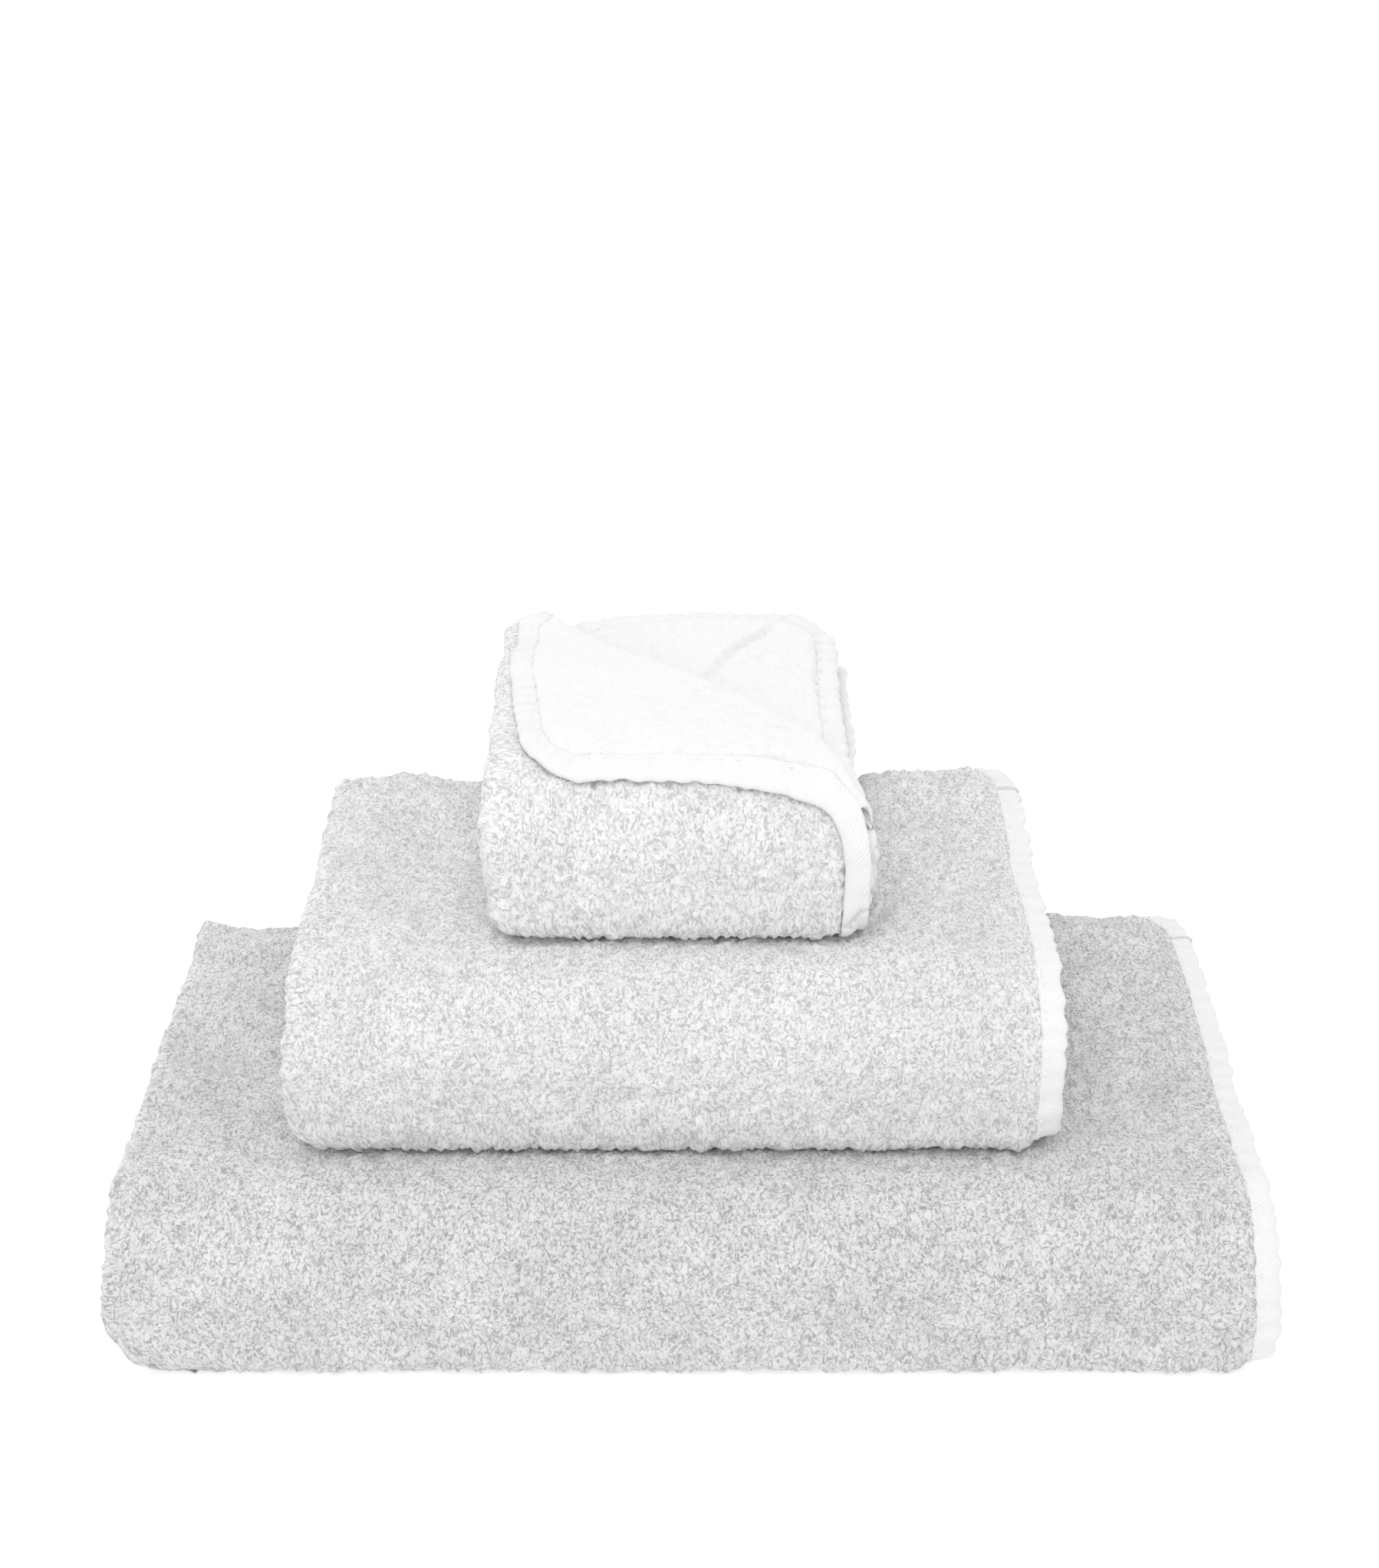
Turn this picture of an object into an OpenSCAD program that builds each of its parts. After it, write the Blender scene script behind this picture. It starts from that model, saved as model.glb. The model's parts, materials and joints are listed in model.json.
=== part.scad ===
// Bath towel set: three two-tone terry towels, folded and stacked.
// Each towel is one cloth, doubled at its left edge and then rolled flat
// from its inner end, so that one layer runs from the back hem over the
// top, round the front and underneath. A white ribbed tape is folded over
// every raw edge and held by a line of stitches. The outer corner of the
// guest towel is turned down on itself and shows the white reverse.
// Millimetres, +Z up, +Y to the back. The origin is in the middle of the
// bottom of the stack.

/* [Bath towel] */
// Folded width, left fold to right hem
bath_w = 500; // [440:5:560]
// Folded depth, front fold to back hem
bath_d = 243; // [200:1:270]
// Folded height
bath_h = 79; // [70:1:90]

/* [Hand towel] */
// Folded width, left fold to right hem
hand_w = 333; // [280:1:380]
// Folded depth, front fold to back hem
hand_d = 193; // [160:1:205]
// Folded height
hand_h = 82; // [72:1:92]
// Sideways offset of the middle of the towel
hand_x = -7; // [-20:1:20]

/* [Guest towel] */
// Folded width, left fold to right hem
guest_w = 167; // [140:1:190]
// Folded depth, front fold to back hem
guest_d = 165; // [130:1:170]
// Folded height
guest_h = 81; // [70:1:90]
// Sideways offset of the middle of the towel
guest_x = -6.5; // [-20:0.5:20]
// How far its hem stands out behind the other towels
guest_out = 12; // [0:1:20]

/* [Turned corner] */
// Leg of the turned triangle, measured along either hem
corner_leg = 156; // [130:1:156]
// Thickness of the turned corner
corner_t = 7; // [5:0.5:8]

/* [Edge tape] */
// Width of the tape on each face of the cloth
tape_w = 11; // [8:0.5:14]
// Thickness over the tape, both faces and the cloth between
tape_t = 4.4; // [3.6:0.1:5]
// Thickness of the bare ground cloth inside the tape
ground_t = 2; // [1.6:0.1:2.4]
// Radius of the towels' corners
corner_r = 30; // [20:1:40]
// Distance of the stitch line from the tape's inner edge
stitch_in = 2; // [1.5:0.5:3]
// Width of the stitch thread
thread_w = 0.8; // [0.6:0.1:1.2]

/* [Hidden] */
gap = 0.5;          // air between neighbouring layers and towels
clear = 0.6;        // how far the turned corner stops short of the crease
rise = 0.3;         // thread above the tape's surface
big = 2000;
bath_y = -guest_out/2;
hand_y = bath_y + bath_d/2 - hand_d/2;
guest_y = bath_y + bath_d/2 + guest_out - guest_d/2;
hand_z = bath_h + gap;
guest_z = hand_z + hand_h + gap;
// A towel is [width, depth, height, number of turns, x, y, z]
BATH  = [bath_w,  bath_d,  bath_h,  6, 0,       bath_y,  0];
HAND  = [hand_w,  hand_d,  hand_h,  6, hand_x,  hand_y,  hand_z];
GUEST = [guest_w, guest_d, guest_h, 4, guest_x, guest_y, guest_z];
// Pitch of the doubled layers, thickness of one layer, and where the
// straight runs end, with the stack's height shared between the turns
function pitch(T) = (T[2] + gap)/T[3];
function layer(T) = (pitch(T) - 2*gap)/2;
function mid(T) = (layer(T) + gap)/2;
function fold_x(T) = -T[0]/2 + mid(T) + layer(T)/2;
function front_y(T) = -T[1]/2 + T[2]/2;
function back_y(T) = T[1]/2 - (T[3] - 1)*pitch(T)/2 + gap/2;
// Height of the middle of the doubled layer in place i, from the bottom
function place_z(T, i) = (i + 0.5)*pitch(T) - gap/2;
crease = guest_w/2 + guest_d/2 - corner_leg;   // x + y along the crease

// Rectangle with its back right corner rounded
module leaf(x0, x1, y0, y1, r) {
    if (r > 0) {
        translate([x0, y0]) square([x1 - x0, y1 - r - y0]);
        translate([x0, y1 - r]) square([x1 - r - x0, r]);
        translate([x1 - r, y1 - r]) intersection() {
            circle(r, $fn = 64);
            square(r + 1);
        }
    } else translate([x0, y0]) square([x1 - x0, y1 - y0]);
}

// One doubled layer lying flat, joined along its left edge. w is the
// thickness drawn for each layer, e the distance kept from the right hem
module run(T, z, w, e, y0, y1, r) {
    m = mid(T);
    x0 = fold_x(T);
    for (s = [-1, 1])
        translate([0, 0, z + s*m - w/2])
            linear_extrude(w) leaf(x0, T[0]/2 - e, y0, y1, r);
    translate([x0, y1, z]) rotate([90, 0, 0]) linear_extrude(y1 - y0)
        difference() {
            circle(m + w/2, $fn = 48);
            circle(m - w/2, $fn = 48);
            translate([0, -m - w]) square([m + w, 2*(m + w)]);
        }
}

// The same doubled layer turned half round a line along X
module turn(T, z, y, radius, w, e, side) {
    m = mid(T);
    x0 = fold_x(T);
    translate([0, y, z]) rotate([0, 90, 0]) rotate([0, 0, side < 0 ? 180 : 0])
        rotate_extrude(angle = 180, $fn = 96) {
            for (s = [-1, 1])
                translate([radius + s*m - w/2, x0])
                    square([w, T[0]/2 - e - x0]);
            translate([radius, x0]) difference() {
                circle(m + w/2, $fn = 48);
                circle(m - w/2, $fn = 48);
                translate([-m - w, 0]) square([2*(m + w), m + w]);
            }
        }
}

// The whole folded cloth, drawn w thick and kept e inside its hems
module rolled(T, w, e) {
    n = T[3];
    p = pitch(T);
    yf = front_y(T);
    yb = back_y(T);
    r = corner_r - e;
    // the top run, which ends in the outer hem
    run(T, place_z(T, n - 1), w, e, yf, T[1]/2 - e, r);
    // the runs between two turns
    for (i = [0 : n - 2]) if (i != n/2 - 1)
        run(T, place_z(T, i), w, e, yf, yb, 0);
    // the innermost run, which ends in the inner hem
    run(T, place_z(T, n/2 - 1), w, e, yf, yb - e, r);
    for (k = [0 : n/2 - 1])
        turn(T, n*p/2 - gap/2, yf, (n - 1 - 2*k)*p/2, w, e, -1);
    for (k = [0 : n/2 - 2])
        turn(T, (n - 1)*p/2 - gap/2, yb, (n - 2 - 2*k)*p/2, w, e, 1);
}

module cloth(T) {
    rolled(T, layer(T), tape_w);
    rolled(T, ground_t, 1);
}

module tape(T) {
    difference() {
        rolled(T, tape_t, 0);
        cloth(T);
    }
}

module stitching(T) {
    e = tape_w - stitch_in - thread_w;
    difference() {
        rolled(T, tape_t + 2*rise, e);
        rolled(T, tape_t + 4*rise, e + thread_w);
        rolled(T, tape_t, 0);
    }
}

// What is taken off the guest towel where its corner is turned down: the
// outer layer alone, to the back and right of the crease
module turned_away() {
    T = GUEST;
    inner = T[2]/2 - layer(T) - gap/2;
    difference() {
        translate([0, 0, T[2]/2]) linear_extrude(T[2])
            polygon([[crease + 400, -400], [800, -400], [800, 400], [crease - 400, 400]]);
        translate([-big/2, front_y(T), 0]) cube([big, big, T[2]/2 + inner]);
        translate([-big/2, front_y(T), T[2]/2]) rotate([0, 90, 0])
            cylinder(r = inner, h = big, $fn = 96);
    }
}

// Outline of the turned corner as it lies on the towel: the back right
// corner mirrored across the crease, kept e inside both hems
module corner_outline(e) {
    T = GUEST;
    r = corner_r - e;
    intersection() {
        // mirrored across x + y = crease
        translate([crease/2, crease/2]) mirror([1, 1]) translate([-crease/2, -crease/2])
            leaf(-T[0]/2, T[0]/2 - e, -T[1]/2, T[1]/2 - e, r);
        polygon([[crease - clear + 400, -400], [crease - clear - 400, 400],
                 [-800, 400], [-800, -400]]);
    }
}

module corner_plate(w, e) {
    translate([0, 0, guest_h + gap + corner_t/2 - w/2])
        linear_extrude(w) corner_outline(e);
}

module corner_cloth() {
    corner_plate(corner_t, tape_w);
    corner_plate(ground_t, 1);
}

module bath_terry() {
    color([0.86, 0.86, 0.87]) translate([0, bath_y, 0]) cloth(BATH);
}
module bath_tape() {
    color([0.97, 0.97, 0.97]) translate([0, bath_y, 0]) tape(BATH);
}
module bath_stitching() {
    color([0.93, 0.93, 0.93]) translate([0, bath_y, 0]) stitching(BATH);
}

module hand_terry() {
    color([0.87, 0.87, 0.88]) translate([hand_x, hand_y, hand_z]) cloth(HAND);
}
module hand_tape() {
    color([0.97, 0.97, 0.97]) translate([hand_x, hand_y, hand_z]) tape(HAND);
}
module hand_stitching() {
    color([0.93, 0.93, 0.93]) translate([hand_x, hand_y, hand_z]) stitching(HAND);
}

module guest_terry() {
    color([0.88, 0.88, 0.89]) translate([guest_x, guest_y, guest_z])
        difference() { cloth(GUEST); turned_away(); }
}
module guest_tape() {
    color([0.97, 0.97, 0.97]) translate([guest_x, guest_y, guest_z])
        difference() { tape(GUEST); turned_away(); }
}
module guest_stitching() {
    color([0.93, 0.93, 0.93]) translate([guest_x, guest_y, guest_z])
        difference() { stitching(GUEST); turned_away(); }
}

module corner_terry() {
    color([0.98, 0.98, 0.98]) translate([guest_x, guest_y, guest_z]) corner_cloth();
}
module corner_tape() {
    color([0.97, 0.97, 0.97]) translate([guest_x, guest_y, guest_z])
        difference() { corner_plate(tape_t, 0); corner_cloth(); }
}
module corner_stitching() {
    e = tape_w - stitch_in - thread_w;
    color([0.93, 0.93, 0.93]) translate([guest_x, guest_y, guest_z])
        difference() {
            corner_plate(tape_t + 2*rise, e);
            corner_plate(tape_t + 4*rise, e + thread_w);
            corner_plate(tape_t, 0);
        }
}

bath_terry();
bath_tape();
bath_stitching();
hand_terry();
hand_tape();
hand_stitching();
guest_terry();
guest_tape();
guest_stitching();
corner_terry();
corner_tape();
corner_stitching();
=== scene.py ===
import json
import math

import bpy
import numpy as np
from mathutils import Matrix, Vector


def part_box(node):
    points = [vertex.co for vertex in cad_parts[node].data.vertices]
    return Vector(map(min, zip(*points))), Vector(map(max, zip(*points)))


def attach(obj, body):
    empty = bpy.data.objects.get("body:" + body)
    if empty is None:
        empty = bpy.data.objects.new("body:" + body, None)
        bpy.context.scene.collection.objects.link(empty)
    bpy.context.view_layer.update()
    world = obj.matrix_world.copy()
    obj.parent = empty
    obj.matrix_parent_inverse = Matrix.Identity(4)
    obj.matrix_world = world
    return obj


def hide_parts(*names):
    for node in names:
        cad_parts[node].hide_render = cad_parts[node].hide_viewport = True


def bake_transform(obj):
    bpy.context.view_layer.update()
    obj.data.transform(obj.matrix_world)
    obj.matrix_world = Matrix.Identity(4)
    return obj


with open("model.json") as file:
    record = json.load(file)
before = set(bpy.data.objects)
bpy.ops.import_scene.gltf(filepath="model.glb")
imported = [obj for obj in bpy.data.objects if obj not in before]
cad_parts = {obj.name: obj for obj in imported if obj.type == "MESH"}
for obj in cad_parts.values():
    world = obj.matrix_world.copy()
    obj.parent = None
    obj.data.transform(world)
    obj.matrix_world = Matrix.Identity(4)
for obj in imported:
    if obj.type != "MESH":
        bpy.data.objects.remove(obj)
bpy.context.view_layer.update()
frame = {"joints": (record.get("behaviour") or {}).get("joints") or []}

MM = 0.001
GAP = 0.5          # air between neighbouring layers, mm
TAPE_W = 11.0      # tape on each face of the cloth
CORNER_R = 30.0    # radius of the cloths' corners
LEG = 156.0        # leg of the turned corner, along either hem
rng = np.random.default_rng(41)


def smooth(x):
    x = np.clip(x, 0.0, 1.0)
    return x * x * (3 - 2 * x)


# ------------------------------------------------------------------ noise
def band(seed, lo, hi, px, size=1024):
    """Tiling noise on a size x size grid of px mm, with wavelengths from lo to hi mm, unit deviation."""
    g = np.random.default_rng(seed).standard_normal((size, size))
    f = np.fft.fft2(g)
    k = np.fft.fftfreq(size, px)
    kk = np.hypot(k[:, None], k[None, :])
    c = 0.5 * (1 / lo + 1 / hi)
    s = max(1e-9, 0.5 * (1 / lo - 1 / hi))
    f *= np.exp(-0.5 * ((kk - c) / s) ** 2) * (kk > 0)
    n = np.real(np.fft.ifft2(f))
    return n / n.std(), px


def sample(noise, a, s):
    n, px = noise
    size = n.shape[0]
    x = np.asarray(a) / px
    y = np.asarray(s) / px
    x0 = np.floor(x).astype(int)
    y0 = np.floor(y).astype(int)
    fx, fy = x - x0, y - y0
    fx = fx * fx * (3 - 2 * fx)
    fy = fy * fy * (3 - 2 * fy)
    x0 %= size
    y0 %= size
    x1, y1 = (x0 + 1) % size, (y0 + 1) % size
    return ((n[x0, y0] * (1 - fx) + n[x1, y0] * fx) * (1 - fy)
            + (n[x0, y1] * (1 - fx) + n[x1, y1] * fx) * fy)


LOOPS = band(3, 3.4, 5.6, 0.7)
TUFTS = band(4, 8.0, 18.0, 1.5)
WAVES = band(5, 40.0, 110.0, 4.0, 512)
WANDER = band(6, 60.0, 200.0, 6.0, 512)


# ------------------------------------------------------------------ folded cloth
def pair_box(*nodes):
    lo = np.full(3, 1e9)
    hi = np.full(3, -1e9)
    for n in nodes:
        a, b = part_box(n)
        lo = np.minimum(lo, np.array(a) * 1000)
        hi = np.maximum(hi, np.array(b) * 1000)
    return lo, hi


class Towel:
    """A cloth doubled at its left edge and rolled flat. a runs across the doubled cloth, from the
    outer layer's right hem round the left fold to the inner layer's right hem; s runs along the
    roll from the outer hem at the back; w is the height over the cloth, positive on the grey side."""

    def __init__(self, name, turns, height, seed, droop=0.0):
        lo, hi = pair_box(name + "_terry", name + "_tape")
        self.name, self.n, self.seed, self.droop = name, turns, seed, droop
        self.W, self.D, self.H = hi[0] - lo[0], hi[1] - lo[1], height
        self.o = np.array([(lo[0] + hi[0]) / 2, (lo[1] + hi[1]) / 2, lo[2]])
        n = turns
        self.p = (self.H + GAP) / n
        self.t = (self.p - 2 * GAP) / 2
        self.m = (self.t + GAP) / 2
        self.fx = -self.W / 2 + self.m + self.t / 2
        self.yf = -self.D / 2 + self.H / 2
        self.yb = self.D / 2 - (n - 1) * self.p / 2 + GAP / 2
        self.L1 = self.W / 2 - self.fx
        self.La = 2 * self.L1 + math.pi * self.m
        p, yf, yb = self.p, self.yf, self.yb
        cf = n * p / 2 - GAP / 2
        cb = (n - 1) * p / 2 - GAP / 2
        segs = [("run", self.D / 2, (n - 0.5) * p - GAP / 2, -1.0, self.D / 2 - yf)]
        k = 0
        while True:
            r = (n - 1 - 2 * k) * p / 2
            segs.append(("front", yf, cf, r, math.pi * r))
            last = k == n // 2 - 1
            segs.append(("run", yf, (k + 0.5) * p - GAP / 2, 1.0, yb - yf))
            if last:
                break
            r = (n - 2 - 2 * k) * p / 2
            segs.append(("back", yb, cb, r, math.pi * r))
            segs.append(("run", yb, (n - 2 - k + 0.5) * p - GAP / 2, -1.0, yb - yf))
            k += 1
        self.segs = segs
        self.start = np.concatenate([[0], np.cumsum([g[4] for g in segs])])
        self.Lb = self.start[-1]

    def path(self, s):
        s = np.asarray(s, float)
        y, z, ny, nz = (np.zeros_like(s) for _ in range(4))
        i = np.clip(np.searchsorted(self.start, s, side="right") - 1, 0, len(self.segs) - 1)
        for j, g in enumerate(self.segs):
            m = i == j
            if not m.any():
                continue
            d = s[m] - self.start[j]
            if g[0] == "run":
                y[m] = g[1] + g[3] * d
                z[m] = g[2]
                ny[m] = 0
                nz[m] = -g[3]
                if j == 0 and self.droop:
                    # the outer hem turns down behind the towel
                    rm = self.t + self.m - self.t / 2 + 1.3
                    l = np.maximum(self.droop - d, 0.0)
                    f = np.minimum(l / rm, math.pi / 2)
                    y[m] = np.where(l > 0, g[1] - self.droop + rm * np.sin(f), y[m])
                    z[m] = g[2] - rm * (1 - np.cos(f)) - np.maximum(l - rm * math.pi / 2, 0.0)
                    ny[m] = np.sin(f)
                    nz[m] = np.cos(f)
            else:
                f = d / g[3]
                sg = -1.0 if g[0] == "front" else 1.0
                y[m] = g[1] + sg * g[3] * np.sin(f)
                z[m] = g[2] - sg * g[3] * np.cos(f)
                ny[m] = sg * np.sin(f)
                nz[m] = -sg * np.cos(f)
        return y, z, ny, nz

    def local(self, a, s, w):
        a, s, w = np.broadcast_arrays(np.asarray(a, float), np.asarray(s, float), np.asarray(w, float))
        ring = math.pi * self.m
        th = np.clip((a - self.L1) / self.m, 0, math.pi)
        outer = a <= self.L1
        inner = a >= self.L1 + ring
        q = self.m + w
        x = np.where(outer, self.W / 2 - a, np.where(inner, self.fx + (a - self.L1 - ring), self.fx - q * np.sin(th)))
        off = np.where(outer, q, np.where(inner, -q, q * np.cos(th)))
        y, z, ny, nz = self.path(s)
        y = y + off * ny
        z = z + off * nz
        # the hems and folds of real layers wander a little
        hem = 1 - smooth(np.minimum(a, self.La - a) / 90.0)
        side = np.where(a < self.La / 2, 0.0, 1.0)
        x = x + hem * self.hem_shift(side, s)
        fold = 1 - smooth((x - self.fx) / 70.0)
        x = x + fold * self.fold_shift(s)
        return self.warp(x, y, z)

    def hem_shift(self, side, s):
        inner = smooth((s - (self.start[2] - 10)) / 60.0)
        wander = sample(WANDER, s * 1.3 + 200 * self.seed, 37.0 * side + 11 * self.seed)
        back = -3.2 * side
        if self.name == "guest":
            top = self.start[1]
            back = side * (-8.6 + 12.0 * smooth((s - top + 6) / 60.0) * (1 - inner) - 1.0 * inner)
        deep = -4.6 if self.name == "guest" else -2.2
        return back + inner * (deep + 1.3 * wander) + (1 - inner) * 0.5 * wander

    def fold_shift(self, s):
        inner = smooth((s - (self.start[2] - 10)) / 60.0)
        wander = sample(WANDER, s * 1.7 + 90 * self.seed, 300.0 + 0 * s)
        return (0.6 + inner) * 1.2 * wander + inner * 1.5

    def warp(self, x, y, z):
        return WARPS[self.name](self, x, y, z)

    def place(self, a, s, w):
        x, y, z = self.local(a, s, w)
        return np.stack([x + self.o[0], y + self.o[1], np.maximum(z + self.o[2], 0.12)], -1)


def squared(T, y, z, p_low, p_high):
    """Squares up the round front fold a little, more at the bottom, where the cloth rests."""
    dy = np.minimum(y - T.yf, 0.0)
    dz = z - T.H / 2
    r = np.hypot(dy, dz) + 1e-9
    c, s = np.abs(dy) / r, np.abs(dz) / r
    p = np.where(dz < 0, p_low, p_high)
    k = np.maximum(c ** p + s ** p, 1e-6) ** (-1 / p)
    on = dy < 0
    y2 = np.where(on, T.yf + dy * k, y)
    z2 = np.where(on, T.H / 2 + dz * k, z)
    return y2, z2


def rounded_left(T, x, y, z, r, low=True, amount=1.0):
    """Rounds the lower front left corner of the fold, where the doubled edge draws in."""
    f = smooth((T.yf + 30 - y) / 70.0)
    h = np.clip(1 - z / r, 0, 1) if low else np.clip(1 - (T.H - z) / r, 0, 1)
    pull = r * (1 - np.sqrt(np.clip(1 - h * h, 0, 1)))
    near = 1 - smooth((x + T.W / 2) / 75.0)
    return x + amount * f * near * pull


def rounded_right(T, x, y, z, r, amount=1.0):
    """Draws in the lower front corner of the right hem."""
    f = smooth((T.yf + 8 - y) / 24.0)
    h = np.clip(1 - z / r, 0, 1)
    pull = r * (1 - np.sqrt(np.clip(1 - h * h, 0, 1)))
    near = smooth((x - (T.W / 2 - 30)) / 30.0)
    return x - amount * f * near * pull


def heel(T, x, low, hem, reach):
    """Squareness of the lower front fold: box-like in the body, rounder at the right hem."""
    return low + (hem - low) * smooth((x - (T.W / 2 - reach)) / (reach * 0.7))


def warp_bath(T, x, y, z):
    u, v, h = x / (T.W / 2), y / (T.D / 2), z / T.H
    y, z = squared(T, y, z, heel(T, x, 9.0, 4.5, 18.0), 2.03)
    x = rounded_left(T, x, y, z, 32)
    x = rounded_right(T, x, y, z, 7, 1.0)
    x = x + 2.5 * (1 - smooth((x + T.W / 2) / 60.0)) - 2.6 * h * smooth((x - 150.0) / 90.0) * smooth((20.0 - y) / 60.0) * smooth((z - 25.0) / 30.0)
    lift = (4.2 * smooth((v - 0.1) / 0.8) + 4.5 * smooth((u + 0.1) / 1.0) * smooth((v + 0.6) / 1.5)
            + 3.4 * np.exp(-((u - 0.80) / 0.12) ** 2) * smooth((v - 0.1) / 0.7)
            - 1.0 * smooth((-u - 0.55) / 0.5) * smooth((0.5 - v) / 0.8)
            + 1.3 * sample(WAVES, x + 700, y + 300))
    # it gives under the hand towel
    foot = smooth((0.74 - np.abs(u - 0.0)) / 0.10)
    lift = lift * (1 - 0.96 * foot)
    z = z + h * lift
    y = y + h * 1.0 * sample(WAVES, x + 120, 40.0 + 0 * y)
    return x, y, z


def warp_hand(T, x, y, z):
    u, v, h = x / (T.W / 2), y / (T.D / 2), z / T.H
    y, z = squared(T, y, z, heel(T, x, 8.0, 4.0, 16.0), 2.08)
    x = rounded_left(T, x, y, z, 20)
    x = rounded_right(T, x, y, z, 6, 0.9)
    x = x + 2.0 * (1 - smooth((x + T.W / 2) / 60.0)) - 1.2 * h * smooth((x - 90.0) / 70.0)
    lift = (7.4 * smooth((v - 0.1) / 0.8) + 3.0 * smooth((u + 0.2) / 1.0) * smooth((v + 0.5) / 1.3)
            + 1.8 * smooth((u - 0.72) / 0.2) * smooth((v - 0.2) / 0.7)
            + 0.9 * sample(WAVES, x + 200, y + 900))
    foot = smooth((0.56 - np.abs(u)) / 0.10)
    lift = lift * (1 - 0.96 * foot)
    z = z + h * lift
    y = y + h * 0.8 * sample(WAVES, x + 520, 140.0 + 0 * y)
    return x, y, z


def warp_guest(T, x, y, z):
    u, v, h = x / (T.W / 2), y / (T.D / 2), z / T.H
    y, z = squared(T, y, z, heel(T, x, 7.0, 3.0, 16.0), 2.1)
    x = rounded_left(T, x, y, z, 14)
    x = rounded_right(T, x, y, z, 6, 0.8)
    x = x + 3.2 * (1 - smooth((x + T.W / 2) / 55.0))
    # the outermost layer is pressed thin on top, and the rest fills out
    z0, z1 = T.H - T.t, T.H - 5.0
    g = np.where(z < z0, z * z1 / z0, z1 + (z - z0) * 5.0 / T.t)
    top = smooth((z / T.H - 0.25) / 0.75)
    z = z + (g - z) * top
    # with the corner turned away, the layer under it swells
    ahead = (x + y - (T.W / 2 + T.D / 2 - LEG)) / math.sqrt(2)
    swell = 11.0 * smooth((ahead - 3.0) / 40.0) * smooth((v + 0.45) / 0.9) + 5.0 * smooth((ahead - 3.0) / 20.0) * smooth((y - (T.D / 2 - 24.0)) / 22.0)
    z = z + h * (1.2 * smooth((v + 0.25) / 1.2) - 2.2 * smooth((0.0 - v) / 0.9) + h * h * swell
                 + 0.5 * sample(WAVES, x + 30, y + 80))
    return x, y, z


WARPS = {"bath": warp_bath, "hand": warp_hand, "guest": warp_guest}

top_hand = pair_box("hand_terry")
BATH = Towel("bath", 6, (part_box("bath_terry")[1][2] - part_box("bath_terry")[0][2]) * 1000, 1, 16.0)
HAND = Towel("hand", 6, (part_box("hand_terry")[1][2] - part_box("hand_terry")[0][2]) * 1000, 2, 16.5)
GUEST = Towel("guest", 4, (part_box("guest_terry")[1][2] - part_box("guest_terry")[0][2]) * 1000, 3)


# ------------------------------------------------------------------ hems
def corner_map(T, a, s):
    """Moves the points of a plain rectangle so that its edge follows the cloth's rounded corners."""
    r = CORNER_R
    ua = np.minimum(a, T.La - a)
    us = np.minimum(s, T.Lb - s)
    m = (ua < r) & (us < r)
    U, V = (r - ua) / r, (r - us) / r
    U2 = U * np.sqrt(np.clip(1 - V * V / 2, 0, 1))
    V2 = V * np.sqrt(np.clip(1 - U * U / 2, 0, 1))
    na, ns = r - r * U2, r - r * V2
    a2 = np.where(m, np.where(a < T.La / 2, na, T.La - na), a)
    s2 = np.where(m, np.where(s < T.Lb / 2, ns, T.Lb - ns), s)
    return a2, s2


def hem_distance(T, a, s):
    r = CORNER_R
    ua = np.minimum(a, T.La - a)
    us = np.minimum(s, T.Lb - s)
    d = np.minimum(ua, us)
    m = (ua < r) & (us < r)
    return np.where(m, r - np.hypot(r - ua, r - us), d)


def pile(d, half, edge=None):
    """Half thickness of the terry at distance d from its hem: bare ground inside the tape, then a plump shoulder."""
    e = TAPE_W - 0.7 if edge is None else edge
    q = np.clip((d - e) / 6.0, 0, 1)
    return 1.0 + (half - 1.0) * np.sqrt(np.clip(1 - (1 - q) ** 2, 0, 1))


def columns(T, step, ring=12, inner_step=24.0, inner_fine=None):
    """Values of a, and which of them belong to the outer layer."""
    hem = np.array([1.6, 5.0, 9.6, 10.4, 10.9, 11.6, 12.6, 14.0, 15.6])
    n = int(round((T.L1 - 17.4) / step))
    outer = np.concatenate([hem, np.linspace(17.4, T.L1, n + 1)])
    rings = T.L1 + math.pi * T.m * np.arange(1, ring) / ring
    i0, i1 = T.L1 + math.pi * T.m, T.La - 17.4
    n2 = int(round((i1 - i0) / (inner_fine or inner_step)))
    inner = np.concatenate([np.linspace(i0, i1, n2 + 1), T.La - hem[::-1]])
    return np.concatenate([outer, rings, inner]), len(outer), ring - 1


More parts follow.
